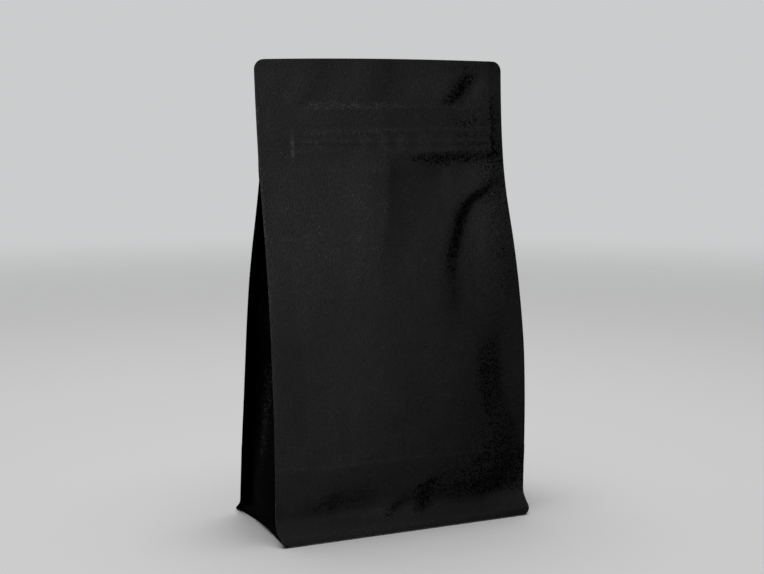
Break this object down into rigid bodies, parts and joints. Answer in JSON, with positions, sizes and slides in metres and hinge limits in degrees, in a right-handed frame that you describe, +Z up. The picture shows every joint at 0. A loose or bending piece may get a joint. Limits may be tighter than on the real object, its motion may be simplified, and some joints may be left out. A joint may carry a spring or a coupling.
{
  "type": "box pouch",
  "caption": "Filled, shut box pouch of dark paper with folded side gussets, a flat base with splayed seams and a pressed zip under a flat header.",
  "frame": {"origin": "middle of the flat base, on the surface it stands on", "axes": "+X to the right across the front panel, +Y towards the back panel, +Z up through the header"},
  "size_m": [0.14, 0.073, 0.239],
  "materials": {
    "paper": "matte"
  },
  "bodies": {
    "root": {"pouch": "paper"}
  },
  "joints": []
}
